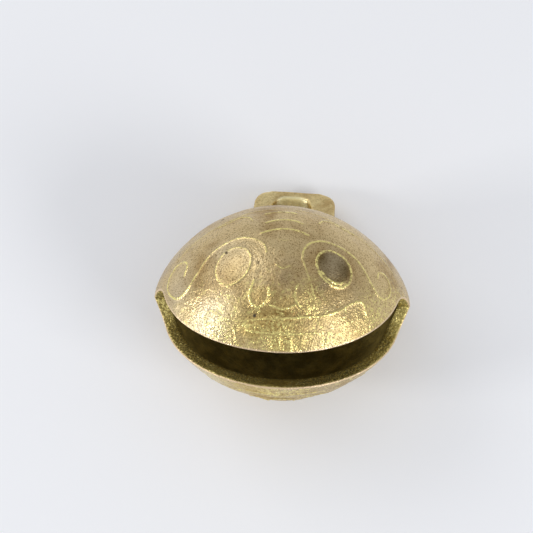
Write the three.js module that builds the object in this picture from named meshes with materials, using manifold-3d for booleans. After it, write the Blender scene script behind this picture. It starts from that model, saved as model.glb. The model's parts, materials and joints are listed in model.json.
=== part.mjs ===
// A small cast brass crotal bell, lying on its lower cheek with its mouth tipped up.
//
// The bell is built in its own axes and then turned into its resting pose as one group:
//   X runs along the slot, from one end of the mouth to the other,
//   Y runs from the mouth to the hanging loop,
//   Z is the normal of the slot's middle plane, so the two cheeks face +Z and -Z.
// All lengths are in millimetres.

import * as THREE from 'three';
import { mergeVertices } from 'three/addons/utils/BufferGeometryUtils.js';
import Module from 'manifold-3d';

// ---- driving dimensions ----

const bodyWidth = 33;              // rim to rim along the slot
const bodyDepth = 28;              // mouth to back
const bodyHeight = 25;             // crown to crown of the two cheeks
const cheekFullness = 2.2;         // how flat each crown is
const cheekShoulder = 0.78;        // how steeply each cheek falls to the rim
const wall = 1.6;                  // thickness of the cast shell

const slotGap = 5.9;               // between the lips
const slotLead = 2.3;              // centre of the slot's round ends, in front of the widest line

const loopWidth = 11.4;            // outside, at the foot
const loopTopWidth = 10.8;         // outside, across the top corners
const loopReach = 6.6;             // from the back of the body to the top of the loop
const loopThickness = 3.0;
const loopTopBar = 1.3;            // from the hole to the top of the loop
const loopSideBar = 2.8;           // from the hole to each side of the loop
const loopCorner = 2.1;            // outside corner radius
const loopEdge = 0.5;              // rounding of the long edges
const loopFootDepth = 1.8;         // how far the legs reach in over the body's rim
const brazeGap = 0.3;              // joint between the loop's feet and the body

const pelletDiameter = 8;          // wider than the slot, so the pellet stays inside
const pelletClearance = 0.2;       // between the pellet and the cavity where it lies

// ---- resolution ----

const meridianSteps = 13;          // steps from the rim to each crown
const bodySides = 52;
const slotEndSteps = 10;
const cornerSteps = 6;
const pelletSides = 24;
const pelletRings = 16;
const shareStep = 0.002;           // step along a cheek's profile when a touching point is looked for

// ---- profile of a cheek ----

// Height of a cheek above the slot's middle plane, at a share of the way from its axis to the rim.
function cheekHeight(share, height) {
  return height * Math.pow(1 - Math.pow(share, cheekFullness), cheekShoulder);
}

// The closed lens of two cheeks, with the given half sizes. Steps are finer near the rim.
function lens(halfWidth, halfDepth, halfHeight) {
  const upper = [];
  for (let step = 0; step <= meridianSteps; step += 1) {
    const share = Math.sin((step / meridianSteps) * Math.PI / 2);
    upper.push(new THREE.Vector2(halfWidth * share, cheekHeight(share, halfHeight)));
  }
  const lower = upper.slice(0, -1).map((point) => new THREE.Vector2(point.x, -point.y));
  const outline = [...lower, ...upper.reverse()];
  const geometry = new THREE.LatheGeometry(outline, bodySides);
  geometry.rotateX(Math.PI / 2);
  geometry.scale(1, halfDepth / halfWidth, 1);
  return geometry;
}

// ---- solids ----

const wasm = await Module();
wasm.setup();

// A closed three.js geometry as a solid that can be joined and cut.
function solidOf(geometry) {
  const bare = new THREE.BufferGeometry();
  bare.setAttribute('position', geometry.getAttribute('position').clone());
  if (geometry.index) {
    bare.setIndex(geometry.index.clone());
  }
  const merged = mergeVertices(bare, 1e-4);
  const corners = merged.index.array;
  const triangles = [];
  for (let i = 0; i < corners.length; i += 3) {
    const [a, b, c] = [corners[i], corners[i + 1], corners[i + 2]];
    if (a !== b && b !== c && c !== a) {
      triangles.push(a, b, c);
    }
  }
  return new wasm.Manifold(new wasm.Mesh({
    numProp: 3,
    vertProperties: new Float32Array(merged.getAttribute('position').array),
    triVerts: new Uint32Array(triangles),
  }));
}

function geometryOf(solid) {
  const mesh = solid.getMesh();
  const geometry = new THREE.BufferGeometry();
  geometry.setAttribute('position', new THREE.BufferAttribute(mesh.vertProperties.slice(), 3));
  geometry.setIndex(new THREE.BufferAttribute(mesh.triVerts.slice(), 1));
  const flat = geometry.toNonIndexed();
  flat.computeVertexNormals();
  return flat;
}

// ---- bell body: a hollow lens with a slot cut round its front half ----

const halfWidth = bodyWidth / 2;
const halfDepth = bodyDepth / 2;
const halfHeight = bodyHeight / 2;

function slotTool() {
  const radius = slotGap / 2;
  const outline = new THREE.Shape();
  outline.moveTo(-bodyDepth, -radius);
  outline.lineTo(-slotLead, -radius);
  outline.absarc(-slotLead, 0, radius, -Math.PI / 2, Math.PI / 2, false);
  outline.lineTo(-bodyDepth, radius);
  outline.closePath();
  const geometry = new THREE.ExtrudeGeometry(outline, {
    depth: 2 * bodyWidth,
    bevelEnabled: false,
    curveSegments: slotEndSteps,
  });
  // The outline lies in the Y-Z plane, and the tool runs the whole width along X.
  geometry.applyMatrix4(new THREE.Matrix4().makeBasis(
    new THREE.Vector3(0, 1, 0),
    new THREE.Vector3(0, 0, 1),
    new THREE.Vector3(1, 0, 0),
  ));
  geometry.translate(-bodyWidth, 0, 0);
  return geometry;
}

const outerLens = solidOf(lens(halfWidth, halfDepth, halfHeight));
const cavity = solidOf(lens(halfWidth - wall, halfDepth - wall, halfHeight - wall));
const bellShell = outerLens.subtract(cavity).subtract(solidOf(slotTool()));

// ---- hanging loop: a rounded strap whose two feet are brazed to the back of the body ----

// A rounded outline from y = foot up to y = top, narrower at the top than at the foot.
function loopOutline(footHalf, topHalf, foot, top, corner) {
  const outline = new THREE.Shape();
  outline.moveTo(-footHalf, foot);
  outline.lineTo(footHalf, foot);
  outline.lineTo(topHalf, top - corner);
  outline.absarc(topHalf - corner, top - corner, corner, 0, Math.PI / 2, false);
  outline.absarc(corner - topHalf, top - corner, corner, Math.PI / 2, Math.PI, false);
  outline.closePath();
  return outline;
}

function loopBlank() {
  const foot = halfDepth - loopFootDepth;
  const top = halfDepth + loopReach;
  const footHalf = loopWidth / 2 - loopEdge;
  const topHalf = loopTopWidth / 2 - loopEdge;
  const outline = loopOutline(footHalf, topHalf, foot, top - loopEdge, loopCorner);
  const geometry = new THREE.ExtrudeGeometry(outline, {
    depth: loopThickness - 2 * loopEdge,
    bevelEnabled: true,
    bevelSize: loopEdge,
    bevelThickness: loopEdge,
    bevelSegments: 3,
    curveSegments: cornerSteps,
  });
  geometry.translate(0, 0, loopEdge - loopThickness / 2);
  return geometry;
}

function loopHole() {
  const top = halfDepth + loopReach - loopTopBar;
  const footHalf = loopWidth / 2 - loopSideBar;
  const topHalf = loopTopWidth / 2 - loopSideBar;
  const corner = Math.min(loopCorner - loopEdge, topHalf);
  const outline = loopOutline(footHalf, topHalf, 0, top, corner);
  const geometry = new THREE.ExtrudeGeometry(outline, {
    depth: 2 * loopThickness,
    bevelEnabled: false,
    curveSegments: cornerSteps,
  });
  geometry.translate(0, 0, -loopThickness);
  return geometry;
}

const bodyKeepOut = solidOf(lens(halfWidth + brazeGap, halfDepth + brazeGap, halfHeight + brazeGap));
const loopSolid = solidOf(loopBlank()).subtract(solidOf(loopHole())).subtract(bodyKeepOut);

// ---- resting pose ----

// The bell lies on its lower cheek and on the lower edge of the loop's top. Seen along X, the table
// is the line from that edge that just touches the cheek, and its slope is the tilt of the bell.
function restingTilt() {
  const edgeY = halfDepth + loopReach - loopEdge;
  const edgeZ = -loopThickness / 2;
  let tilt = 0;
  for (let share = 0; share < 1; share += shareStep) {
    const drop = edgeZ + cheekHeight(share, halfHeight);
    tilt = Math.max(tilt, Math.atan2(drop, edgeY - halfDepth * share));
  }
  return tilt;
}

const tilt = restingTilt();
const down = new THREE.Vector3(0, Math.sin(tilt), -Math.cos(tilt));

// The lowest place in the cavity for the pellet's centre. Each point of the cavity's middle profile
// is moved in along its own normal, and the point that ends up furthest down is the pellet's place.
function pelletSeat() {
  const reach = pelletDiameter / 2 + pelletClearance;
  const depth = halfDepth - wall;
  const height = halfHeight - wall;
  let best = new THREE.Vector3();
  for (let share = shareStep; share < 1 - shareStep; share += shareStep) {
    const here = new THREE.Vector3(0, depth * share, -cheekHeight(share, height));
    const ahead = share + shareStep / 2;
    const next = new THREE.Vector3(0, depth * ahead, -cheekHeight(ahead, height));
    const along = next.sub(here).normalize();
    const inward = new THREE.Vector3(0, -along.z, along.y);
    const centre = here.addScaledVector(inward, reach);
    if (centre.dot(down) > best.dot(down)) {
      best = centre;
    }
  }
  return best;
}

// ---- assembly ----

const castBrass = new THREE.MeshStandardMaterial({ color: 0xb3945a, roughness: 0.45, metalness: 1 });
const smoothBrass = new THREE.MeshStandardMaterial({ color: 0xc9a758, roughness: 0.35, metalness: 1 });
const darkIron = new THREE.MeshStandardMaterial({ color: 0x4a443c, roughness: 0.6, metalness: 1 });

function piece(name, geometry, material) {
  const mesh = new THREE.Mesh(geometry, material);
  mesh.name = name;
  return mesh;
}

const bellBody = piece('bell_body', geometryOf(bellShell), castBrass);
const hangingLoop = piece('hanging_loop', geometryOf(loopSolid), smoothBrass);
const pelletBall = new THREE.SphereGeometry(pelletDiameter / 2, pelletSides, pelletRings);
const pellet = piece('pellet', pelletBall, darkIron);
pellet.position.copy(pelletSeat());

const bell = new THREE.Group();
bell.add(bellBody, hangingLoop, pellet);
bell.rotation.x = -tilt;

// The origin is on the table, under the middle of the whole bell.
const lying = new THREE.Group();
lying.add(bell);
lying.updateMatrixWorld(true);
const extent = new THREE.Box3().setFromObject(lying, true);
const middle = extent.getCenter(new THREE.Vector3());
bell.position.set(-middle.x, -middle.y, -extent.min.z);

export default lying;
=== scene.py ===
import json
import math
import bpy
import bmesh
from mathutils import Matrix, Vector, noise


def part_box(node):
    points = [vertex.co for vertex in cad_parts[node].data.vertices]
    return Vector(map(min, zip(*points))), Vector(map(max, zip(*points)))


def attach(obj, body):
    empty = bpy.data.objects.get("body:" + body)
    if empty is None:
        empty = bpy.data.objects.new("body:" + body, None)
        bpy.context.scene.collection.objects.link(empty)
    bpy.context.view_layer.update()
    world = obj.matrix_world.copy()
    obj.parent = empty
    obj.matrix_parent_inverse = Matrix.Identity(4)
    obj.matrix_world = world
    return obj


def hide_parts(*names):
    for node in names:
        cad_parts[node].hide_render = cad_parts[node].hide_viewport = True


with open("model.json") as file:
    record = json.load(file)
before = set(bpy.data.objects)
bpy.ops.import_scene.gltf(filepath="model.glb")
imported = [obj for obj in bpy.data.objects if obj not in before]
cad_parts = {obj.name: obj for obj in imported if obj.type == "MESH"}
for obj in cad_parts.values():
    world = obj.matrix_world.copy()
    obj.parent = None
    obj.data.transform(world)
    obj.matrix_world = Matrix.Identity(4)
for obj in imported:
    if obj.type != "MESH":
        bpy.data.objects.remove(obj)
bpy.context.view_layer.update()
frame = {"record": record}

scene = bpy.context.scene
mm = 0.001

# The bell's own axes: X along the slot, Y from the mouth to the loop, Z out of the upper cheek.
# The bell lies tipped back, so they are read from the two flat faces on its loop.
mounts = {mount["name"]: mount for mount in frame["record"]["mounts"]}
bellUp = Vector(mounts["loop_side"]["axis"]).normalized()
bellBack = -Vector(mounts["cord_bearing"]["axis"]).normalized()
bellAcross = bellBack.cross(bellUp)

bellShell = {
    "width": 33 * mm,          # along the slot
    "depth": 28 * mm,          # mouth to back
    "height": 25 * mm,         # crown to crown
    "fullness": 2.2,           # how flat each crown is
    "shoulder": 0.78,          # how steeply each cheek falls to the rim
    "wall": 1.6 * mm,
    "slotGap": 5.9 * mm,
    "slotLead": 2.3 * mm,      # centre of the slot's round ends, in front of the widest line
    "leftLead": 1.4 * mm,      # the hand-cut slot stops this much sooner on the left
    "upperPinch": 0.62 * mm,   # and the upper and the lower lip are this much closer there
    "lowerPinch": 0.10 * mm,
    "lipRound": 0.16 * mm,     # rounding of the cast lips
    "lipWearOutside": 0.20 * mm,
    "lipWearAcross": 0.16 * mm,
    "rimBlend": 1.5 * mm,      # the relief dies out this close to the rim, so that the halves meet
}

hangingLoop = {
    "footWidth": 11.4 * mm,
    "topWidth": 10.8 * mm,
    "reach": 6.6 * mm,         # from the back of the body to the top of the loop
    "thickness": 3.0 * mm,
    "topBar": 1.3 * mm,
    "sideBar": 2.8 * mm,
    "holeAside": -0.4 * mm,    # the hole was cut a little off the middle
    "holeCorner": 1.9 * mm,
    "holeEdge": 0.6 * mm,      # worn rounding of the hole's edges
    "corner": 2.1 * mm,
    "edge": 0.5 * mm,
    "sunk": 1.6 * mm,          # how far the feet reach into the body's wall
    "braze": (1.95 * mm, 0.95 * mm, 2.05 * mm),   # half sizes of the bead round each foot
    "brazeSunk": 0.75 * mm,
    "cordWearAndShineReach": 0.8 * mm,     # how far round the top bar the cord has polished it, painted brighter as a highlight
    "wobble": 0.045 * mm,
    "wobbleScale": 420,        # waves of the wobble in a metre
    "voxel": 0.11 * mm,
    "smoothing": 20,
}

bearingToCentre = bellShell["depth"] / 2 + hangingLoop["reach"] - hangingLoop["topBar"]
bellCentre = Vector(mounts["cord_bearing"]["pos_m"]) - bellBack * bearingToCentre
bellToRow = Matrix.Translation(bellCentre) @ Matrix((bellAcross, bellBack, bellUp)).transposed().to_4x4()


# The view, from in front of the mouth and a little to its right.
cameraView = {
    "across": 5.0,             # degrees to the right of the mouth's middle, in the bell's own axes
    "above": 42.0,             # degrees above the slot's plane
    "roll": 0.5,
    "distance": 330 * mm,
    "frameWidth": 68.7 * mm,   # of the picture, at the bell's centre
    "shiftX": -0.029,
    "shiftY": 0.0666,
    "sensor": 36,
}


def directionTo(around, up):
    # unit vector at an angle round from the front and an angle up, in degrees
    around, up = math.radians(around), math.radians(up)
    return Vector((math.sin(around) * math.cos(up), -math.cos(around) * math.cos(up), math.sin(up)))


def makeCamera():
    away = directionTo(cameraView["across"], cameraView["above"])
    right = directionTo(cameraView["across"] + 90, 0)
    up = away.cross(right)
    turn = Matrix.Rotation(math.radians(cameraView["roll"]), 3, away)
    axes = Matrix((turn @ right, turn @ up, away)).transposed()
    place = Matrix.Translation(away * cameraView["distance"]) @ axes.to_4x4()
    data = bpy.data.cameras.new("camera")
    data.sensor_width = cameraView["sensor"]
    data.lens = cameraView["sensor"] * cameraView["distance"] / cameraView["frameWidth"]
    data.shift_x = cameraView["shiftX"]
    data.shift_y = cameraView["shiftY"]
    data.clip_start = 10 * mm
    camera = bpy.data.objects.new("camera", data)
    camera.matrix_world = bellToRow @ place
    scene.collection.objects.link(camera)
    scene.camera = camera


# A pale table under a soft sky, with three soft boxes.
studio = {
    "floorSize": 2.4,
    "floorColor": (0.93, 0.935, 0.95),
    "worldColor": (0.93, 0.95, 1.0),
    "worldStrength": 0.60,
    # name: degrees round from the front, degrees up, distance, width, height, watts
    "lights": {
        "leftBox": (-72, 24, 0.45, 0.10, 0.08, 0.47),
        "rightBox": (58, 33, 0.45, 0.20, 0.15, 0.61),
        "backLeftBox": (-126, 40, 0.60, 0.40, 0.26, 0.50),
    },
}


def makeStudio():
    world = bpy.data.worlds.new("studio")
    world.use_nodes = True
    background = world.node_tree.nodes["Background"]
    background.inputs["Color"].default_value = (*studio["worldColor"], 1)
    background.inputs["Strength"].default_value = studio["worldStrength"]
    scene.world = world

    half = studio["floorSize"] / 2
    mesh = bpy.data.meshes.new("floor")
    corners = [(-half, -half, 0), (half, -half, 0), (half, half, 0), (-half, half, 0)]
    mesh.from_pydata(corners, [], [(0, 1, 2, 3)])
    floor = bpy.data.objects.new("floor", mesh)
    scene.collection.objects.link(floor)
    paper = bpy.data.materials.new("studioPaper")
    paper.use_nodes = True
    shader = paper.node_tree.nodes["Principled BSDF"]
    shader.inputs["Base Color"].default_value = (*studio["floorColor"], 1)
    shader.inputs["Roughness"].default_value = 0.9
    shader.inputs["Specular IOR Level"].default_value = 0.2
    mesh.materials.append(paper)

    for name, (around, up, distance, width, height, watts) in studio["lights"].items():
        toward = directionTo(around, up)
        data = bpy.data.lights.new(name, "AREA")
        data.shape = "RECTANGLE"
        data.size = width
        data.size_y = height
        data.energy = watts
        light = bpy.data.objects.new(name, data)
        light.location = toward * distance
        light.rotation_euler = toward.to_track_quat("Z", "Y").to_euler()
        scene.collection.objects.link(light)


makeCamera()
makeStudio()
scene.view_settings.view_transform = "Standard"
print("studio ready")


# Small helpers for node trees; a value may be a socket or a plain number or colour.
def newGroup(name, vectors, sizes, outputs):
    # a shader group with vector inputs, size inputs with their usual values, and outputs from 0 to 1
    group = bpy.data.node_groups.new(name, "ShaderNodeTree")
    for label in vectors:
        group.interface.new_socket(label, in_out="INPUT", socket_type="NodeSocketVector")
    for label, value in sizes.items():
        socket = group.interface.new_socket(label, in_out="INPUT", socket_type="NodeSocketFloat")
        socket.default_value = value
    for label in outputs:
        group.interface.new_socket(label, in_out="OUTPUT", socket_type="NodeSocketFloat")
    return group, group.nodes.new("NodeGroupInput"), group.nodes.new("NodeGroupOutput")


def addNode(tree, kind, values=None, **settings):
    node = tree.nodes.new(kind)
    for key, value in settings.items():
        setattr(node, key, value)
    for key, value in (values or {}).items():
        node.inputs[key].default_value = value
    return node


def mathNode(tree, operation, first, second=None, clamp=False):
    node = tree.nodes.new("ShaderNodeMath")
    node.operation = operation
    node.use_clamp = clamp
    for index, value in enumerate((first, second)):
        if value is None:
            continue
        if isinstance(value, (int, float)):
            node.inputs[index].default_value = value
        else:
            tree.links.new(value, node.inputs[index])
    return node.outputs[0]


def rampNode(tree, source, low, high, outLow=0.0, outHigh=1.0):
    node = addNode(tree, "ShaderNodeMapRange", {"From Min": low, "From Max": high,
                                                "To Min": outLow, "To Max": outHigh})
    node.interpolation_type = "SMOOTHSTEP"
    tree.links.new(source, node.inputs["Value"])
    return node.outputs["Result"]


def noiseNode(tree, coordinate, scale, detail, roughness=0.5, distortion=0.0):
    node = addNode(tree, "ShaderNodeTexNoise", {"Scale": scale, "Detail": detail,
                                                "Roughness": roughness, "Distortion": distortion})
    tree.links.new(coordinate, node.inputs["Vector"])
    return node.outputs["Fac"]


def mixColors(tree, factor, first, second, blend="MIX"):
    node = tree.nodes.new("ShaderNodeMix")
    node.data_type = "RGBA"
    node.blend_type = blend
    for socket, value in ((node.inputs[0], factor), (node.inputs[6], first), (node.inputs[7], second)):
        if isinstance(value, (int, float)):
            socket.default_value = value
        elif isinstance(value, tuple):
            socket.default_value = (*value, 1)
        else:
            tree.links.new(value, socket)
    return node.outputs[2]


def makeCastGrain():
    # Sand-cast skin: fine grain, coarser lumps and a few small pits, all as heights from 0 to 1.
    sizes = {"Grain size": 0.25 * mm, "Pit size": 2.2 * mm}
    group, inward, outward = newGroup("castGrain", ["Vector"], sizes, ["Grain", "Lumps", "Pits", "Speckle"])
    grainScale = mathNode(group, "DIVIDE", 1.0, inward.outputs["Grain size"])
    pitScale = mathNode(group, "DIVIDE", 1.0, inward.outputs["Pit size"])
    vector = inward.outputs["Vector"]

    def scattered(kind, scale, values=None):
        node = addNode(group, kind, values)
        group.links.new(vector, node.inputs["Vector"])
        group.links.new(scale, node.inputs["Scale"])
        return node

    fine = scattered("ShaderNodeTexNoise", grainScale, {"Detail": 3.0, "Roughness": 0.65})
    cells = scattered("ShaderNodeTexVoronoi", grainScale)
    rounded = mathNode(group, "SUBTRACT", 1.2, cells.outputs["Distance"])
    grain = mathNode(group, "MULTIPLY", fine.outputs["Fac"], rounded)
    group.links.new(grain, outward.inputs["Grain"])

    lumpScale = mathNode(group, "MULTIPLY", grainScale, 0.22)
    coarse = scattered("ShaderNodeTexNoise", lumpScale, {"Detail": 4.0, "Roughness": 0.55, "Distortion": 0.4})
    group.links.new(coarse.outputs["Fac"], outward.inputs["Lumps"])

    holes = scattered("ShaderNodeTexVoronoi", pitScale)
    pits = rampNode(group, holes.outputs["Distance"], 0.05, 0.16, 1.0, 0.0)
    keep = rampNode(group, noiseNode(group, vector, 260.0, 2.0), 0.5, 0.62)
    group.links.new(mathNode(group, "MULTIPLY", pits, keep), outward.inputs["Pits"])

    # one cell in a few is a bright speckle
    bright = scattered("ShaderNodeTexVoronoi", mathNode(group, "MULTIPLY", grainScale, 0.8))
    chosen = addNode(group, "ShaderNodeSeparateColor")
    group.links.new(bright.outputs["Color"], chosen.inputs["Color"])
    group.links.new(rampNode(group, chosen.outputs["Red"], 0.55, 0.95), outward.inputs["Speckle"])
    return group


castGrainGroup = makeCastGrain()


def placeGroup(tree, group, coordinate, values=None):
    node = tree.nodes.new("ShaderNodeGroup")
    node.node_tree = group
    tree.links.new(coordinate, node.inputs["Vector"])
    for key, value in (values or {}).items():
        node.inputs[key].default_value = value
    return node


def newMaterial(name):
    material = bpy.data.materials.new(name)
    material.use_nodes = True
    tree = material.node_tree
    shader = tree.nodes["Principled BSDF"]
    coordinate = tree.nodes.new("ShaderNodeTexCoord").outputs["Object"]
    return material, tree, shader, coordinate


def bumpChain(tree, shader, layers):
    # layers: (height, strength, distance), from the coarsest to the finest
    previous = None
    for height, strength, distance in layers:
        bump = addNode(tree, "ShaderNodeBump", {"Strength": strength, "Distance": distance})
        tree.links.new(height, bump.inputs["Height"])
        if previous:
            tree.links.new(previous, bump.inputs["Normal"])
        previous = bump.outputs["Normal"]
    tree.links.new(previous, shader.inputs["Normal"])


def attributeNode(tree, name):
    return addNode(tree, "ShaderNodeAttribute", attribute_name=name).outputs["Fac"]


# Brass of the body: brown-gold patina over yellow brass.
castBrassLook = {
    "base": (0.74, 0.57, 0.295),
    "frontBase": (0.63, 0.455, 0.16),
    "polishedAndHighlight": (0.82, 0.71, 0.49),
    "brown": (0.35, 0.20, 0.055),
    "darkStainAndShade": (0.13, 0.08, 0.016),
    "pale": (0.74, 0.61, 0.39),
    "bright": (1.0, 0.86, 0.32),
    "lipColor": (0.86, 0.66, 0.42),
    "pit": (0.10, 0.08, 0.055),
    "fleck": (0.44, 0.37, 0.28),
    "roughness": 0.31,
    "wornGloss": 0.14,         # how much smoother the worn gold is
    "grainSize": 0.26 * mm,
    "grainBump": 0.9,
    "lumpBump": 0.6,
    "pitBump": 0.8,
    # how many features of each pattern fit in a metre
    "patchScale": 170.0,
    "paleScale": 95.0,
    "mottleScale": 1500.0,
    "fleckScale": 6200.0,
    "crumbScale": 3200.0,
    "clusterScale": 620.0,
    "glossScale": 420.0,
}


def makeCastBrass():
    look = castBrassLook
    material, tree, shader, coordinate = newMaterial("castBrass")
    grain = placeGroup(tree, castGrainGroup, coordinate, {"Grain size": look["grainSize"]})
    line = attributeNode(tree, "line")
    lip = attributeNode(tree, "lip")
    front = attributeNode(tree, "front")
    brown = attributeNode(tree, "brown")

    # brown patches and stains, painted shade at the right eye, paler clouds, polished places with painted
    # highlights, and fine dark flecks
    patches = noiseNode(tree, coordinate, look["patchScale"], 4.0, 0.55, 0.3)
    patches = rampNode(tree, patches, 0.42, 0.72, 0.0, 0.7)
    mottle = rampNode(tree, noiseNode(tree, coordinate, look["mottleScale"], 3.0, 0.6), 0.30, 0.62, 0.6, 1.0)
    stainedAndShaded = mathNode(tree, "MULTIPLY", brown, mottle)
    color = mixColors(tree, front, look["base"], look["frontBase"])
    color = mixColors(tree, mathNode(tree, "MAXIMUM", patches, stainedAndShaded), color, look["brown"])
    # darkest at the right eye, as painted shade, and in the strongest brown stains
    color = mixColors(tree, rampNode(tree, brown, 0.62, 1.0), color, look["darkStainAndShade"])
    paleness = rampNode(tree, noiseNode(tree, coordinate, look["paleScale"], 3.0, 0.5), 0.5, 0.72, 0.0, 0.6)
    color = mixColors(tree, paleness, color, look["pale"])
    # paler at the polished places where the highlights fall: a painted highlight
    color = mixColors(tree, attributeNode(tree, "polish"), color, look["polishedAndHighlight"])
    flecks = rampNode(tree, noiseNode(tree, coordinate, look["fleckScale"], 2.0, 0.65), 0.50, 0.66)
    color = mixColors(tree, flecks, color, look["fleck"], "MULTIPLY")

    # gold shows through the patina on the raised lines, on the lips and as specks near the mouth
    crumbs = noiseNode(tree, coordinate, look["crumbScale"], 2.0, 0.7)
    broken = rampNode(tree, crumbs, 0.40, 0.54, 0.20, 1.0)
    lineWorn = mathNode(tree, "MULTIPLY", rampNode(tree, line, 0.2, 0.65), broken)
    cluster = rampNode(tree, noiseNode(tree, coordinate, look["clusterScale"], 2.0, 0.6), 0.42, 0.62)
    near = mathNode(tree, "MULTIPLY", front, rampNode(tree, cluster, 0.0, 1.0, 0.15, 0.9))
    specks = mathNode(tree, "MULTIPLY", grain.outputs["Speckle"], near)
    # chipped places show gold; at the slot's right tip this is a painted highlight
    chipsAndGlint = mathNode(tree, "MULTIPLY", rampNode(tree, crumbs, 0.50, 0.56), attributeNode(tree, "chipped"))
    wornAndHighlit = mathNode(tree, "MAXIMUM", lineWorn, mathNode(tree, "MAXIMUM", specks, chipsAndGlint))
    color = mixColors(tree, wornAndHighlit, color, look["bright"])
    color = mixColors(tree, rampNode(tree, lip, 0.3, 0.75), color, look["lipColor"])
    color = mixColors(tree, grain.outputs["Pits"], color, look["pit"])
    tree.links.new(color, shader.inputs["Base Color"])

    uneven = noiseNode(tree, coordinate, look["glossScale"], 3.0)
    rough = rampNode(tree, uneven, 0.3, 0.7, look["roughness"] - 0.05, look["roughness"] + 0.1)
    rough = mathNode(tree, "ADD", rough, mathNode(tree, "MULTIPLY", wornAndHighlit, -look["wornGloss"]))
    rough = mathNode(tree, "ADD", rough, mathNode(tree, "MULTIPLY", grain.outputs["Pits"], 0.3), clamp=True)
    tree.links.new(rough, shader.inputs["Roughness"])
    shader.inputs["Metallic"].default_value = 1.0
    pitDepth = mathNode(tree, "SUBTRACT", 1.0, grain.outputs["Pits"])
    coarse = mathNode(tree, "MULTIPLY", grain.outputs["Grain"], rampNode(tree, front, 0.0, 1.0, 0.8, 1.4))
    bumpChain(tree, shader, [
        (pitDepth, look["pitBump"], 0.10 * mm),
        (grain.outputs["Lumps"], look["lumpBump"], 0.16 * mm),
        (coarse, look["grainBump"], 0.075 * mm),
    ])
    return material


cutBrassLook = {
    "dark": (0.30, 0.235, 0.075),
    "gold": (1.0, 0.84, 0.31),
    "grainSize": 0.30 * mm,
    "goldScale": 2900.0,
}


def makeCutBrass():
    # the rough sawn faces of the lips: gold grains on dark metal
    look = cutBrassLook
    material, tree, shader, coordinate = newMaterial("cutBrass")
    grain = placeGroup(tree, castGrainGroup, coordinate, {"Grain size": look["grainSize"]})
    gold = rampNode(tree, noiseNode(tree, coordinate, look["goldScale"], 3.0, 0.75), 0.45, 0.60)
    # chipped places show gold, and at the slot's right tip a painted highlight
    gold = mathNode(tree, "MAXIMUM", gold, mathNode(tree, "MULTIPLY", attributeNode(tree, "chipped"), 0.8))
    color = mixColors(tree, gold, look["dark"], look["gold"])
    edge = rampNode(tree, attributeNode(tree, "lip"), 0.35, 0.8)
    color = mixColors(tree, edge, color, castBrassLook["lipColor"])
    tree.links.new(color, shader.inputs["Base Color"])
    tree.links.new(rampNode(tree, gold, 0.0, 1.0, 0.6, 0.34), shader.inputs["Roughness"])
    shader.inputs["Metallic"].default_value = 1.0
    bumpChain(tree, shader, [
        (grain.outputs["Lumps"], 0.6, 0.25 * mm),
        (grain.outputs["Grain"], 0.7, 0.14 * mm),
    ])
    return material


innerBrassLook = {
    "dark": (0.30, 0.23, 0.065),
    "brass": (0.55, 0.43, 0.13),
    "grainSize": 0.45 * mm,
    "toneScale": 420.0,
    "roughness": 0.6,
    "metallic": 0.8,
}


def makeInnerBrass():
    # the unfinished inside of the shell, dark olive with some brass showing
    look = innerBrassLook
    material, tree, shader, coordinate = newMaterial("innerBrass")
    grain = placeGroup(tree, castGrainGroup, coordinate, {"Grain size": look["grainSize"]})
    tone = rampNode(tree, noiseNode(tree, coordinate, look["toneScale"], 4.0, 0.6), 0.35, 0.7)
    color = mixColors(tree, tone, look["dark"], look["brass"])
    tree.links.new(color, shader.inputs["Base Color"])
    shader.inputs["Metallic"].default_value = look["metallic"]
    shader.inputs["Roughness"].default_value = look["roughness"]
    bumpChain(tree, shader, [
        (grain.outputs["Lumps"], 0.6, 0.3 * mm),
        (grain.outputs["Grain"], 0.5, 0.15 * mm),
    ])
    return material


castBrass = makeCastBrass()
cutBrass = makeCutBrass()
innerBrass = makeInnerBrass()
print("brass ready")


# Shell of the bell, as two half castings that meet behind the slot, in the bell's own axes.
shellMesh = {
    "rearColumns": 280,
    "frontColumns": 340,
    "outerRows": {"upper": 122, "lower": 110},
    "lipRows": 12,
    "innerRows": 22,
    "crowding": 0.94,          # how much closer the rows lie towards the lip
    "lipRoundShare": 0.16,     # part of the cut face, from each edge, that is rounded
}


def cheekHeight(share, height):
    return height * (1 - share ** bellShell["fullness"]) ** bellShell["shoulder"] if share < 1 else 0.0


def slotAt(x, pinch):
    # where the slot's round end is centred, and half the gap, at a place along the slot
    left = min(1.0, max(0.0, -x / (bellShell["width"] / 2))) ** 2
    # both lips end in the same tip, so the pinch eases off towards it
    tight = bellShell[pinch] * left * (1 - left ** 4)
    return bellShell["slotLead"] + bellShell["leftLead"] * left, bellShell["slotGap"] / 2 - tight


def beyondSlot(point, pinch):
    # how far a point of the shell is from the slot's outline, seen along the slot
    lead, halfGap = slotAt(point[0], pinch)
    return math.hypot(max(point[1] + lead, 0), point[2]) - halfGap


def cheekPoint(angle, share, half):
    # a point of a half casting, at an angle round it and a share of the way from the crown to the rim
    x, y = half[0] * share * math.cos(angle), half[1] * share * math.sin(angle)
    return Vector((x, y, cheekHeight(share, half[2])))


def lastWhere(holds, low, high):
    # halves the range down to the highest value that the test holds for
    for _ in range(40):
        middle = (low + high) / 2
        if holds(middle):
            low = middle
        else:
            high = middle
    return low


def shareAtLip(angle, half, inflate, pinch):
    # how far out from the crown the lip is, as a share of the way to the rim
    def onShell(share):
        return beyondSlot(cheekPoint(angle, share, half), pinch) > inflate
    return 1.0 if beyondSlot(cheekPoint(angle, 1.0, half), pinch) >= inflate else lastWhere(onShell, 0.3, 1.0)


def slotTipAngle(half, inflate, side, pinch):
    # angle on the rim, from the slot's right or left end, at which the slot begins
    def inSlot(angle):
        return beyondSlot((side * half[0] * math.cos(angle), half[1] * math.sin(angle), 0), pinch) <= inflate
    return lastWhere(inSlot, -0.4, 0.4)


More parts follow.
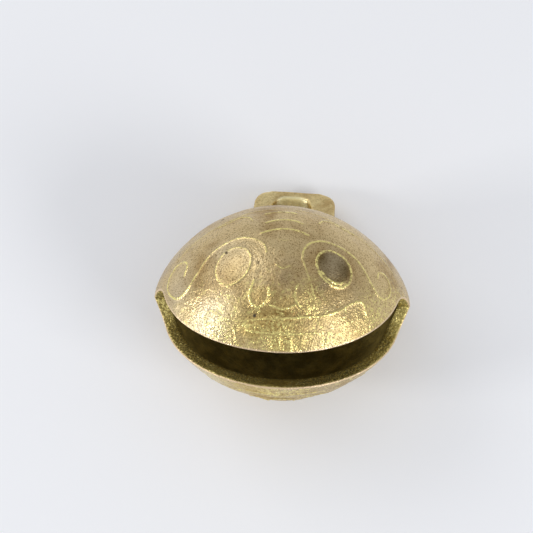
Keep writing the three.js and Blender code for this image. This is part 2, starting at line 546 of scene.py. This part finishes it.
def columnAngles(half, inflate, rearCount, frontCount, pinch):
    right = slotTipAngle(half, inflate, 1, pinch)
    left = math.pi - slotTipAngle(half, inflate, -1, pinch)
    rear = [right + (left - right) * i / rearCount for i in range(rearCount)]
    front = [left + (2 * math.pi + right - left) * i / frontCount for i in range(frontCount)]
    return rear + front


def cheekRings(half, inflate, counts, rows, pinch):
    # rings of points from the crown out to the lip or the rim
    angles = columnAngles(half, inflate, *counts, pinch)
    ends = [shareAtLip(angle, half, inflate, pinch) for angle in angles]
    ends[0] = ends[counts[0]] = 1.0
    # the rows lie closer together towards the lip, where the shell is steep
    spread = shellMesh["crowding"] * math.pi / 2
    rings = []
    for row in range(1, rows + 1):
        part = math.sin(spread * row / rows) / math.sin(spread)
        rings.append([cheekPoint(angle, end * part, half) for angle, end in zip(angles, ends)])
    return rings


def lipRings(outer, inner, inflate, counts, steps, pinch):
    # the cut face from the outer edge to the inner edge, with both edges rounded
    rings = []
    for step in range(1, steps):
        part = 0.5 - 0.5 * math.cos(math.pi * step / steps)
        depthIn = min(1.0, min(part, 1 - part) / shellMesh["lipRoundShare"])
        bulge = inflate * (1 - math.sqrt(1 - (1 - depthIn) ** 2))
        ring = []
        for column, (a, b) in enumerate(zip(outer, inner)):
            point = a.lerp(b, part)
            if column == 0 or column >= counts[0]:
                lead, halfGap = slotAt(point.x, pinch)
                ahead, reach = point.y + lead, halfGap + bulge
                if ahead <= 0:
                    point.z = reach
                else:
                    scale = reach / math.hypot(ahead, point.z)
                    point.y = ahead * scale - lead
                    point.z *= scale
            ring.append(point)
        rings.append(ring)
    return rings


def lipWearAt(ring, outerCount, lipCount, point, pinch):
    # 1 on the outer edge of the lip, falling off along the outside and quickly across the cut face
    if ring < outerCount:
        away = max(0.0, beyondSlot(point, pinch) - bellShell["lipRound"]) / bellShell["lipWearOutside"]
    else:
        part = 0.5 - 0.5 * math.cos(math.pi * min(1.0, (ring - outerCount + 1) / (lipCount + 1)))
        away = part * bellShell["wall"] / bellShell["lipWearAcross"]
    return math.exp(-away)


def makeCheek(name, side, outerRows):
    # one half of the casting as a closed shell; side is 1 for the upper half and -1 for the lower
    outerHalf = (bellShell["width"] / 2, bellShell["depth"] / 2, bellShell["height"] / 2)
    innerHalf = tuple(size - bellShell["wall"] for size in outerHalf)
    inflate = bellShell["lipRound"]
    pinch = "upperPinch" if side > 0 else "lowerPinch"
    counts = (shellMesh["rearColumns"], shellMesh["frontColumns"])
    outer = cheekRings(outerHalf, inflate, counts, outerRows, pinch)
    inner = cheekRings(innerHalf, inflate, counts, shellMesh["innerRows"], pinch)
    lip = lipRings(outer[-1], inner[-1], inflate, counts, shellMesh["lipRows"], pinch)
    rings = outer + lip + inner[::-1]
    # zones: 0 outside, 1 cut face, 2 inside
    zones = [0] * (len(outer) - 1) + [1] * (len(lip) + 1) + [2] * (len(inner) - 1)

    columns = sum(counts)
    points = [Vector((0, 0, outerHalf[2]))] + [point for ring in rings for point in ring]
    points.append(Vector((0, 0, innerHalf[2])))
    faces, faceZones = [], []
    for j in range(columns):
        k = (j + 1) % columns
        faces.append((0, 1 + j, 1 + k))
        faceZones.append(0)
    for i, zone in enumerate(zones):
        first, second = 1 + i * columns, 1 + (i + 1) * columns
        for j in range(columns):
            k = (j + 1) % columns
            faces.append((first + j, second + j, second + k, first + k))
            faceZones.append(zone)
    last = 1 + (len(rings) - 1) * columns
    for j in range(columns):
        faces.append((last + j, len(points) - 1, last + (j + 1) % columns))
        faceZones.append(2)

    marks = []
    for index, point in enumerate(points):
        lipWear = lipWearAt((index - 1) // columns, len(outer), len(lip), point, pinch)
        frontness = min(1.0, max(0.0, (-point.y / outerHalf[1] - 0.35) / 0.45))
        aboveRim = min(1.0, abs(point.z) / bellShell["rimBlend"])
        # faceForm also gives the brown stains with painted shade at the right eye, and the polish and chips
        # with painted highlights
        marks.append((lipWear, frontness, aboveRim, *faceForm(point.x, point.y)))
    if side < 0:
        points = [Vector((point.x, point.y, -point.z)) for point in points]
        faces = [face[::-1] for face in faces]

    mesh = bpy.data.meshes.new(name)
    mesh.from_pydata([bellToRow @ point for point in points], [], faces)
    mesh.attributes.new("zone", "INT", "FACE").data.foreach_set("value", faceZones)
    for label, values in zip(("lip", "front", "aboveRim", "form", "brown", "polish", "chipped"), zip(*marks)):
        mesh.attributes.new(label, "FLOAT", "POINT").data.foreach_set("value", values)
    mesh.polygons.foreach_set("use_smooth", [True] * len(mesh.polygons))
    piece = bpy.data.objects.new(name, mesh)
    scene.collection.objects.link(piece)
    return piece


# The face drawn in raised lines on each cheek.
# Places are in millimetres from the middle between the eyes: across, and towards the loop.
# Each line has its strength first; lines of one side are given as for the right side.
tigerFace = {
    "middle": (0.6, -4.85),
    "twist": 3.2,               # degrees, as it was carved slightly askew
    "leftSide": [
        (0.55, [(2.2, 1.0), (2.6, 2.2), (4.2, 3.4), (5.8, 3.75), (7.9, 3.4), (9.5, 2.6), (11.0, 1.0)]),
        (1.00, [(11.0, 1.0), (12.2, 0.0), (13.5, 0.1), (14.6, 1.7), (14.8, 3.3), (13.9, 4.7), (12.8, 4.3),
                (12.3, 3.3), (12.6, 2.1)]),
        (1.00, [(1.7, -3.1), (1.75, -4.1), (2.7, -4.7), (3.7, -4.4), (4.1, -3.4), (3.6, -2.2)]),
        (0.60, [(0.0, -5.75), (2.4, -5.7), (5.0, -5.5), (7.0, -4.9), (8.3, -4.0), (9.2, -3.6), (9.6, -4.3)]),
    ],
    "rightSide": [
        (0.80, [(2.35, 0.3), (2.4, 1.2), (2.9, 2.4), (4.2, 3.3), (5.8, 3.6), (7.9, 3.3), (9.5, 2.5),
                (11.0, 0.9)]),
        (0.55, [(2.35, 0.3), (2.9, -1.1), (3.6, -2.6), (4.0, -3.7), (3.6, -4.5), (2.6, -4.8)]),
        (0.70, [(11.0, 0.9), (11.9, 0.2), (12.7, 0.4), (13.4, 1.6), (13.4, 2.9), (12.7, 3.7), (12.0, 3.3),
                (11.8, 2.3)]),
        (0.70, [(1.9, -2.6), (1.55, -3.3), (1.7, -4.2), (2.6, -4.8)]),
        (0.75, [(0.0, -5.75), (2.4, -5.5), (5.0, -4.9), (7.2, -3.8), (8.8, -2.5), (9.9, -1.9), (10.5, -2.6)]),
    ],
    "bothSides": [
        (0.65, [(4.2, 6.8), (4.8, 7.8), (6.0, 8.1), (7.3, 7.6), (8.6, 7.4)]),
        (0.50, [(1.2, 9.6), (4.2, 9.2), (8.0, 7.9), (10.5, 7.1), (12.5, 6.4), (13.8, 5.7)]),
        (0.75, [(0.0, -6.9), (2.3, -6.7), (4.4, -6.3)]),
        (0.45, [(5.9, -5.9), (5.5, -6.9)]),
    ],
    "middleLines": [
        (0.80, [(-1.6, -4.6), (0.0, -5.0), (1.6, -4.6)]),
        (0.90, [(-3.0, 4.0), (-1.6, 4.5), (0.0, 4.7), (1.6, 4.5), (2.9, 4.0)]),
        (0.85, [(-2.4, 6.0), (-1.2, 6.45), (0.0, 6.6), (1.2, 6.45), (2.2, 6.0)]),
        (0.75, [(-2.6, 8.1), (-1.3, 8.5), (0.0, 8.6), (1.3, 8.4)]),
        (0.40, [(-0.7, 2.9), (0.0, 2.7), (0.5, 2.8)]),
        (0.30, [(-0.4, 1.1), (0.6, 0.7), (1.5, 0.8)]),
        (0.60, [(-1.5, -6.9), (-1.6, -7.9)]),
        (0.60, [(-0.3, -7.0), (-0.2, -7.8)]),
        (0.60, [(1.1, -6.9), (1.2, -7.9)]),
        (0.50, [(2.6, -6.8), (2.5, -7.6)]),
        (0.60, [(-0.9, -0.7), (-0.1, -1.1), (0.8, -0.8)]),
    ],
    # strength, place, the two radii; a negative place is on the left
    "eyes": [(0.55, (-6.3, 0.15), 2.2, 2.2), (1.0, (6.3, 0.3), 2.2, 2.1)],
    "eyeCrescentHighlight": (1.0, (6.3, 0.3), 1.85, 1.75, 215, 320),   # a raised arc inside the right eye's lower edge, coloured bright gold as a painted highlight
}

# Raised and sunken places of the face, its brown stains and painted shade, and where it is polished or
# chipped and painted with highlights, in millimetres:
# across, along, the two radii, then the height or the strength. Each falls off softly.
faceForms = {
    "mounds": [
        (0.0, -2.7, 2.3, 2.1, 0.34),
        (-2.3, -3.9, 0.9, 0.8, 0.12),
        (2.3, -3.9, 0.9, 0.8, 0.12),
        (0.0, -5.4, 3.2, 0.32, -0.13),
        (6.3, 0.3, 3.5, 3.0, -0.20),
        (6.3, 0.3, 1.8, 1.6, 0.34),
        (-6.3, 0.2, 1.8, 1.6, 0.06),
        (6.6, -4.6, 2.6, 0.9, 0.14),
        (-6.6, -4.6, 2.6, 0.9, 0.10),
        (0.0, -6.3, 4.5, 0.4, 0.10),
    ],
    "stainsAndShade": [
        # painted shade: the right eye and its socket are darkened
        (6.3, 0.5, 2.5, 2.2, 0.9),
        (6.2, 0.4, 3.9, 3.1, 0.45),
        (0.0, -2.2, 3.0, 2.1, 0.7),
        (0.3, -6.2, 3.6, 0.5, 0.6),
        (0.0, -5.3, 3.6, 0.5, 0.7),
        (4.6, -2.8, 1.6, 1.2, 0.5),
    ],
    "polishedAndHighlight": [
        # painted highlight: paler where the highlights fall
        (-9.6, -4.6, 3.2, 2.4, 1.0),
        (6.5, -7.0, 4.0, 2.2, 0.4),
        (-13.6, 0.4, 1.6, 3.0, 0.5),
    ],
    "chipped": [
        (-0.6, -7.2, 2.6, 1.6, 1.0),
        (3.6, -3.4, 1.4, 1.6, 0.7),
        (11.8, -2.2, 1.8, 2.4, 0.9),
        (-7.5, -5.6, 2.5, 1.5, 0.5),
        # painted highlight at the slot's right tip
        (15.0, 1.5, 1.6, 2.5, 0.9),
    ],
}


def toFace(x, y):
    # from the bell's plan to millimetres on the face
    turn = math.radians(tigerFace["twist"])
    x, y = x / mm - tigerFace["middle"][0], y / mm - tigerFace["middle"][1]
    return x * math.cos(turn) + y * math.sin(turn), y * math.cos(turn) - x * math.sin(turn)


def fromFace(point):
    # from millimetres on the face to the bell's plan
    turn = math.radians(tigerFace["twist"])
    return ((tigerFace["middle"][0] + point.x * math.cos(turn) - point.y * math.sin(turn)) * mm,
            (tigerFace["middle"][1] + point.x * math.sin(turn) + point.y * math.cos(turn)) * mm)


def faceForm(x, y):
    # height of the modelling, then the strengths of the stain with its painted shade, the polish and the
    # chipping with their painted highlights, at a place
    x, y = toFace(x, y)
    totals = []
    for kind in ("mounds", "stainsAndShade", "polishedAndHighlight", "chipped"):
        totals.append(sum(depth * math.exp(-((x - a) / across) ** 2 - ((y - b) / along) ** 2)
                          for a, b, across, along, depth in faceForms[kind]))
    return totals[0] * mm, *(min(1.0, total) for total in totals[1:])


def smoothPath(points, steps=10):
    # Catmull-Rom through the points
    last = len(points) - 1
    path = []
    for i in range(last):
        a, b, c, d = (Vector(points[min(max(i + k, 0), last)]) for k in (-1, 0, 1, 2))
        for step in range(steps):
            t = step / steps
            path.append(0.5 * (2 * b + (c - a) * t + (2 * a - 5 * b + 4 * c - d) * t * t
                               + (3 * b - a - 3 * c + d) * t ** 3))
    path.append(Vector(points[-1]))
    return path


def arcPoints(place, across, along, start, end, count):
    turns = (math.radians(start + (end - start) * k / count) for k in range(count + 1))
    return [(place[0] + across * math.cos(turn), place[1] + along * math.sin(turn)) for turn in turns]


def faceLines():
    # every line of the face as a strength and a smooth path
    look = tigerFace
    lines = [(strength, smoothPath(points)) for strength, points in look["middleLines"]]
    for side, key in ((-1, "leftSide"), (1, "rightSide")):
        for strength, points in look[key] + look["bothSides"]:
            lines.append((strength, [Vector((side * point.x, point.y)) for point in smoothPath(points)]))
    for strength, place, across, along in look["eyes"]:
        lines.append((strength, smoothPath(arcPoints(place, across, along, 0, 360, 16))))
    strength, place, across, along, start, end = look["eyeCrescentHighlight"]
    lines.append((strength, smoothPath(arcPoints(place, across, along, start, end, 6))))
    return lines


def makeGuides(name, side):
    # the lines as loose edges lying on a cheek
    halfWidth, halfDepth, halfHeight = bellShell["width"] / 2, bellShell["depth"] / 2, bellShell["height"] / 2
    points, edges, strengths = [], [], []
    for strength, line in faceLines():
        for index, point in enumerate(line):
            x, y = fromFace(point)
            share = math.hypot(x / halfWidth, y / halfDepth)
            points.append(bellToRow @ Vector((x, y, side * cheekHeight(share, halfHeight))))
            strengths.append(strength)
            if index:
                edges.append((len(points) - 2, len(points) - 1))
    mesh = bpy.data.meshes.new(name)
    mesh.from_pydata(points, edges, [])
    mesh.attributes.new("strength", "FLOAT", "POINT").data.foreach_set("value", strengths)
    guides = bpy.data.objects.new(name, mesh)
    scene.collection.objects.link(guides)
    return guides


# Raised lines, and the unevenness of the casting.
relief = {
    "lineWidth": 0.27 * mm,     # half width of a raised line at its foot
    "lineHeight": 0.12 * mm,
    "waver": 0.14 * mm,         # unsteadiness of the carver's hand
    "unevenness": 0.10 * mm,    # of the hand-made casting
    "unevenSize": 5.0 * mm,
    "skin": 0.028 * mm,         # fine roughness that is real in the mesh
    "skinSize": 0.55 * mm,
    "wrinkle": 0.07 * mm,       # coarser wrinkles of the skin near the mouth
    "wrinkleSize": 1.6 * mm,
    "seed": 4.0,
}
reliefInputs = {
    "Line width": "lineWidth", "Line height": "lineHeight", "Waver": "waver", "Unevenness": "unevenness",
    "Uneven size": "unevenSize", "Skin": "skin", "Skin size": "skinSize", "Wrinkle": "wrinkle",
    "Wrinkle size": "wrinkleSize", "Seed": "seed",
}


def makeReliefTree():
    # pushes the outside of a cheek out along its lines and over its modelling, and paints the three zones
    tree = bpy.data.node_groups.new("raisedLines", "GeometryNodeTree")
    face = tree.interface
    face.new_socket("Geometry", in_out="INPUT", socket_type="NodeSocketGeometry")
    face.new_socket("Guides", in_out="INPUT", socket_type="NodeSocketObject")
    for label in reliefInputs:
        face.new_socket(label, in_out="INPUT", socket_type="NodeSocketFloat")
    for label in ("Outside", "Cut face", "Inside"):
        face.new_socket(label, in_out="INPUT", socket_type="NodeSocketMaterial")
    face.new_socket("Geometry", in_out="OUTPUT", socket_type="NodeSocketGeometry")
    nodes, links = tree.nodes, tree.links
    inward, outward = nodes.new("NodeGroupInput"), nodes.new("NodeGroupOutput")

    def reliefNode(kind, **settings):
        node = nodes.new(kind)
        for key, value in settings.items():
            setattr(node, key, value)
        return node

    def named(name, kind="FLOAT"):
        node = reliefNode("GeometryNodeInputNamedAttribute", data_type=kind)
        node.inputs["Name"].default_value = name
        return node.outputs["Attribute"]

    def centredNoise(sizeLabel, detail):
        # noise from about -0.5 to 0.5
        node = reliefNode("ShaderNodeTexNoise", noise_dimensions="4D")
        node.inputs["Detail"].default_value = detail
        links.new(nodes.new("GeometryNodeInputPosition").outputs[0], node.inputs["Vector"])
        links.new(mathNode(tree, "DIVIDE", 1.0, inward.outputs[sizeLabel]), node.inputs["Scale"])
        links.new(inward.outputs["Seed"], node.inputs["W"])
        return mathNode(tree, "SUBTRACT", node.outputs["Fac"], 0.5)

    def roughBy(label, sizeLabel):
        # heights up to about the named amount, up or down
        amount = mathNode(tree, "MULTIPLY", inward.outputs[label], 2.0)
        return mathNode(tree, "MULTIPLY", centredNoise(sizeLabel, 2.0), amount)

    def inZone(zone):
        node = reliefNode("FunctionNodeCompare", data_type="INT", operation="EQUAL")
        links.new(named("zone", "INT"), node.inputs[2])
        node.inputs[3].default_value = zone
        return node.outputs["Result"]

    guides = nodes.new("GeometryNodeObjectInfo")
    links.new(inward.outputs["Guides"], guides.inputs["Object"])
    near = reliefNode("GeometryNodeProximity", target_element="EDGES")
    links.new(guides.outputs["Geometry"], near.inputs[0])
    ridge = reliefNode("ShaderNodeMapRange", interpolation_type="SMOOTHSTEP")
    ridge.inputs["To Min"].default_value = 1.0
    ridge.inputs["To Max"].default_value = 0.0
    wavering = mathNode(tree, "MULTIPLY", centredNoise("Skin size", 1.0), inward.outputs["Waver"])
    links.new(mathNode(tree, "ADD", near.outputs["Distance"], wavering), ridge.inputs["Value"])
    links.new(inward.outputs["Line width"], ridge.inputs["From Max"])

    nearest = reliefNode("GeometryNodeSampleNearest", domain="POINT")
    links.new(guides.outputs["Geometry"], nearest.inputs["Geometry"])
    strength = reliefNode("GeometryNodeSampleIndex", data_type="FLOAT", domain="POINT")
    links.new(guides.outputs["Geometry"], strength.inputs["Geometry"])
    links.new(named("strength"), strength.inputs["Value"])
    links.new(nearest.outputs["Index"], strength.inputs["Index"])
    ridgeMask = mathNode(tree, "MULTIPLY", ridge.outputs["Result"], strength.outputs["Value"])

    # the lines are worn low in places
    broken = mathNode(tree, "ADD", mathNode(tree, "MULTIPLY", centredNoise("Skin size", 1.0), 1.4), 1.0)
    raised = mathNode(tree, "MULTIPLY", ridgeMask, broken)
    raised = mathNode(tree, "MULTIPLY", raised, inward.outputs["Line height"])
    wrinkle = mathNode(tree, "MULTIPLY", roughBy("Wrinkle", "Wrinkle size"), named("front"))
    modelled = mathNode(tree, "ADD", roughBy("Skin", "Skin size"), named("form"))
    uneven = mathNode(tree, "ADD", raised, roughBy("Unevenness", "Uneven size"))
    offset = mathNode(tree, "ADD", uneven, modelled)
    offset = mathNode(tree, "MULTIPLY", mathNode(tree, "ADD", offset, wrinkle), named("aboveRim"))

    store = reliefNode("GeometryNodeStoreNamedAttribute", data_type="FLOAT", domain="POINT")
    store.inputs["Name"].default_value = "line"
    links.new(inward.outputs["Geometry"], store.inputs["Geometry"])
    links.new(ridgeMask, store.inputs["Value"])

    push = reliefNode("ShaderNodeVectorMath", operation="SCALE")
    links.new(nodes.new("GeometryNodeInputNormal").outputs[0], push.inputs[0])
    links.new(offset, push.inputs["Scale"])
    shift = nodes.new("GeometryNodeSetPosition")
    links.new(store.outputs["Geometry"], shift.inputs["Geometry"])
    links.new(push.outputs[0], shift.inputs["Offset"])
    links.new(inZone(0), shift.inputs["Selection"])

    realize = nodes.new("GeometryNodeRealizeInstances")
    links.new(shift.outputs["Geometry"], realize.inputs["Geometry"])
    current = realize.outputs["Geometry"]
    for zone, label in enumerate(("Outside", "Cut face", "Inside")):
        paint = nodes.new("GeometryNodeSetMaterial")
        links.new(current, paint.inputs["Geometry"])
        links.new(inZone(zone), paint.inputs["Selection"])
        links.new(inward.outputs[label], paint.inputs["Material"])
        current = paint.outputs["Geometry"]
    links.new(current, outward.inputs["Geometry"])
    return tree


def bakeModifiers(piece):
    # the modifiers' result becomes the piece's own plain mesh
    evaluated = piece.evaluated_get(bpy.context.evaluated_depsgraph_get())
    plain = bpy.data.meshes.new_from_object(evaluated)
    piece.modifiers.clear()
    old = piece.data
    piece.data = plain
    bpy.data.meshes.remove(old)
    plain.name = piece.name


def applyTree(piece, tree, values):
    modifier = piece.modifiers.new("nodes", "NODES")
    modifier.node_group = tree
    sockets = {item.name: item.identifier for item in tree.interface.items_tree if item.in_out == "INPUT"}
    for label, value in values.items():
        modifier[sockets[label]] = value
    bakeModifiers(piece)


def restOnTable(piece):
    # the places that touch the table are worn flat
    for vertex in piece.data.vertices:
        vertex.co.z = max(vertex.co.z, 0.0)


reliefTree = makeReliefTree()
reliefValues = {label: relief[key] for label, key in reliefInputs.items()}
for half, side in (("upper", 1), ("lower", -1)):
    cheek = makeCheek(half + "_cheek", side, shellMesh["outerRows"][half])
    guides = makeGuides(half + "_guides", side)
    applyTree(cheek, reliefTree, {
        **reliefValues, "Guides": guides,
        "Outside": castBrass, "Cut face": cutBrass, "Inside": innerBrass,
    })
    bpy.data.objects.remove(guides)
    restOnTable(cheek)
    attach(cheek, "bell")
    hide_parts("bell_body")
    print(half, "cheek:", len(cheek.data.polygons), "faces")


# Hanging loop: a strap with a hole, brazed on at two feet.
def roundedOutline(footHalf, topHalf, foot, top, corner, steps=8):
    points = [(-footHalf, foot), (footHalf, foot)]
    for start, x in ((0, topHalf - corner), (math.pi / 2, corner - topHalf)):
        for step in range(steps + 1):
            turn = start + math.pi / 2 * step / steps
            points.append((x + corner * math.cos(turn), top - corner + corner * math.sin(turn)))
    return points


loopBrassLook = {
    "brass": (0.84, 0.67, 0.32),
    "brown": (0.60, 0.43, 0.18),
    "rubbed": (0.88, 0.74, 0.38),
    "fleck": (0.40, 0.34, 0.26),
    "pit": (0.14, 0.11, 0.06),
    "cordGoldAndHighlight": (1.0, 0.92, 0.56),
    "cordRoughness": 0.75,
    "grainSize": 0.32 * mm,
    "toneScale": 300.0,
    "rubScale": 900.0,
    "fleckScale": 3800.0,
}


def makeLoopBrass():
    look = loopBrassLook
    material, tree, shader, coordinate = newMaterial("loopBrass")
    grain = placeGroup(tree, castGrainGroup, coordinate, {"Grain size": look["grainSize"]})
    cordWear = attributeNode(tree, "cordWear")
    tone = rampNode(tree, noiseNode(tree, coordinate, look["toneScale"], 4.0, 0.6), 0.38, 0.66)
    color = mixColors(tree, tone, look["brass"], look["brown"])
    rub = rampNode(tree, noiseNode(tree, coordinate, look["rubScale"], 2.0, 0.5), 0.5, 0.75, 0.0, 0.5)
    color = mixColors(tree, rub, color, look["rubbed"])
    flecks = rampNode(tree, noiseNode(tree, coordinate, look["fleckScale"], 3.0, 0.75), 0.46, 0.72, 0.0, 0.6)
    color = mixColors(tree, flecks, color, look["fleck"], "MULTIPLY")
    color = mixColors(tree, grain.outputs["Pits"], color, look["pit"])
    # bright gold where the cord has polished the top bar, and a painted highlight there
    color = mixColors(tree, rampNode(tree, cordWear, 0.2, 0.8), color, look["cordGoldAndHighlight"])
    tree.links.new(color, shader.inputs["Base Color"])
    wornAndHighlit = mathNode(tree, "MULTIPLY", cordWear, look["cordRoughness"])
    rough = mathNode(tree, "MAXIMUM", rampNode(tree, tone, 0.0, 1.0, 0.30, 0.42), wornAndHighlit)
    tree.links.new(rough, shader.inputs["Roughness"])
    shader.inputs["Metallic"].default_value = 1.0
    bumpChain(tree, shader, [
        (grain.outputs["Lumps"], 0.5, 0.14 * mm),
        (grain.outputs["Grain"], 0.7, 0.06 * mm),
    ])
    return material


def addLoft(shape, outlines, heights):
    # a closed solid through outlines of equal length, from the lowest to the highest
    rings = [[shape.verts.new((x, y, z)) for x, y in outline] for outline, z in zip(outlines, heights)]
    shape.faces.new(rings[0][::-1])
    shape.faces.new(rings[-1])
    for lower, upper in zip(rings, rings[1:]):
        for i in range(len(lower)):
            k = (i + 1) % len(lower)
            shape.faces.new((lower[i], lower[k], upper[k], upper[i]))


def meshFromShape(name, shape):
    mesh = bpy.data.meshes.new(name)
    shape.to_mesh(mesh)
    shape.free()
    piece = bpy.data.objects.new(name, mesh)
    scene.collection.objects.link(piece)
    return piece


def holeSections(steps=6):
    # (how much wider, how high) of each section of the hole, which flares in a quarter round to both faces
    edge, halfThick = hangingLoop["holeEdge"], hangingLoop["thickness"] / 2
    sections = []
    for step in range(steps + 1):
        turn = math.pi / 2 * step / steps
        sections.append((edge * (1 - math.cos(turn)), halfThick - edge * (1 - math.sin(turn))))
    sections.append((1 * mm, 2 * halfThick))   # clear of the strap
    return [(wider, -height) for wider, height in sections[::-1]] + [(0.0, 0.0)] + sections


def makeLoop():
    size = hangingLoop
    halfDepth = bellShell["depth"] / 2
    top = halfDepth + size["reach"]
    foot = halfDepth - size["sunk"]
    halfThick = size["thickness"] / 2
    footHalf, topHalf = size["footWidth"] / 2, size["topWidth"] / 2
    strap = bmesh.new()
    strapOutline = roundedOutline(footHalf, topHalf, foot, top, size["corner"])
    addLoft(strap, [strapOutline, strapOutline], [-halfThick, halfThick])
    ends = [edge for edge in strap.edges if abs(edge.verts[0].co.z - edge.verts[1].co.z) < 1e-6]
    bmesh.ops.bevel(strap, geom=ends, offset=size["edge"], offset_type="OFFSET", segments=4, profile=0.5,
                    affect="EDGES")
    loop = meshFromShape("hanging_loop_cast", strap)

    hole = bmesh.new()
    holeTop = top - size["topBar"]
    holeHalf = topHalf - size["sideBar"]
    outlines, heights = [], []
    for wider, height in holeSections():
        outline = roundedOutline(footHalf - size["sideBar"] + wider, holeHalf + wider, 0.0, holeTop + wider,
                                 size["holeCorner"] + wider)
        outlines.append([(x + size["holeAside"], y) for x, y in outline])
        heights.append(height)
    addLoft(hole, outlines, heights)
    holeCutter = meshFromShape("loop_hole", hole)
    cut = loop.modifiers.new("hole", "BOOLEAN")
    cut.object = holeCutter
    cut.operation = "DIFFERENCE"
    cut.solver = "EXACT"
    bakeModifiers(loop)
    bpy.data.objects.remove(holeCutter)

    # a bead of braze round each foot
    beads = bmesh.new()
    beads.from_mesh(loop.data)
    for side in (-1, 1):
        legMiddle = side * (size["footWidth"] - size["sideBar"]) / 2 + size["holeAside"] / 2
        place = Matrix.Translation((legMiddle, halfDepth - size["brazeSunk"], 0))
        shape = Matrix.Diagonal((*size["braze"], 1))
        bmesh.ops.create_uvsphere(beads, u_segments=24, v_segments=16, radius=1, matrix=place @ shape)
    beads.to_mesh(loop.data)
    beads.free()

    remesh = loop.modifiers.new("remesh", "REMESH")
    remesh.mode = "VOXEL"
    remesh.voxel_size = size["voxel"]
    smooth = loop.modifiers.new("smooth", "SMOOTH")
    smooth.factor = 0.5
    smooth.iterations = size["smoothing"]
    bakeModifiers(loop)
    wearAndShine = []
    for vertex in loop.data.vertices:
        # a cord has polished the inner face of the top bar, which is painted brighter as a highlight
        across = abs(vertex.co.x - size["holeAside"]) / holeHalf
        facing = min(1.0, max(0.0, -vertex.normal.y))
        near = abs(vertex.co.y - holeTop) < size["cordWearAndShineReach"]
        wearAndShine.append(facing * max(0.0, 1 - across ** 4) if near else 0.0)
        vertex.co += vertex.normal * noise.noise(vertex.co * size["wobbleScale"]) * size["wobble"]
    loop.data.attributes.new("cordWear", "FLOAT", "POINT").data.foreach_set("value", wearAndShine)
    loop.data.transform(bellToRow)
    restOnTable(loop)
    loop.data.polygons.foreach_set("use_smooth", [True] * len(loop.data.polygons))
    loop.data.materials.clear()
    loop.data.materials.append(makeLoopBrass())
    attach(loop, "bell")
    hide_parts("hanging_loop")
    print("loop:", len(loop.data.polygons), "faces")


makeLoop()


# Loose ball inside.
pelletBall = {
    "fineness": 6,
    "lumps": 0.09 * mm,
    "lumpSize": 2.2 * mm,
    "inset": 0.12 * mm,        # keeps the lumps inside the ball's own size
}
pelletIronLook = {
    "iron": (0.13, 0.12, 0.11),
    "rust": (0.19, 0.085, 0.035),
    "grainSize": 0.30 * mm,
    "rustScale": 650.0,
}


def makePelletIron():
    look = pelletIronLook
    material, tree, shader, coordinate = newMaterial("pelletIron")
    grain = placeGroup(tree, castGrainGroup, coordinate, {"Grain size": look["grainSize"]})
    rust = rampNode(tree, noiseNode(tree, coordinate, look["rustScale"], 5.0, 0.65), 0.45, 0.68)
    color = mixColors(tree, rust, look["iron"], look["rust"])
    tree.links.new(color, shader.inputs["Base Color"])
    tree.links.new(rampNode(tree, rust, 0.0, 1.0, 0.95, 0.25), shader.inputs["Metallic"])
    tree.links.new(rampNode(tree, rust, 0.0, 1.0, 0.45, 0.85), shader.inputs["Roughness"])
    bumpChain(tree, shader, [
        (grain.outputs["Lumps"], 0.5, 0.2 * mm),
        (grain.outputs["Grain"], 0.5, 0.1 * mm),
    ])
    return material


def makePellet():
    low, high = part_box("pellet")
    centre = (Vector(low) + Vector(high)) / 2
    radius = (high[0] - low[0]) / 2
    ball = bmesh.new()
    bmesh.ops.create_icosphere(ball, subdivisions=pelletBall["fineness"], radius=radius - pelletBall["inset"])
    for vertex in ball.verts:
        outward = vertex.co.normalized()
        vertex.co += outward * noise.noise(vertex.co / pelletBall["lumpSize"]) * pelletBall["lumps"]
    pellet = meshFromShape("iron_pellet", ball)
    pellet.data.transform(Matrix.Translation(centre))
    pellet.data.polygons.foreach_set("use_smooth", [True] * len(pellet.data.polygons))
    pellet.data.materials.append(makePelletIron())
    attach(pellet, "pellet")
    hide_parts("pellet")
    print("pellet:", len(pellet.data.polygons), "faces")


makePellet()
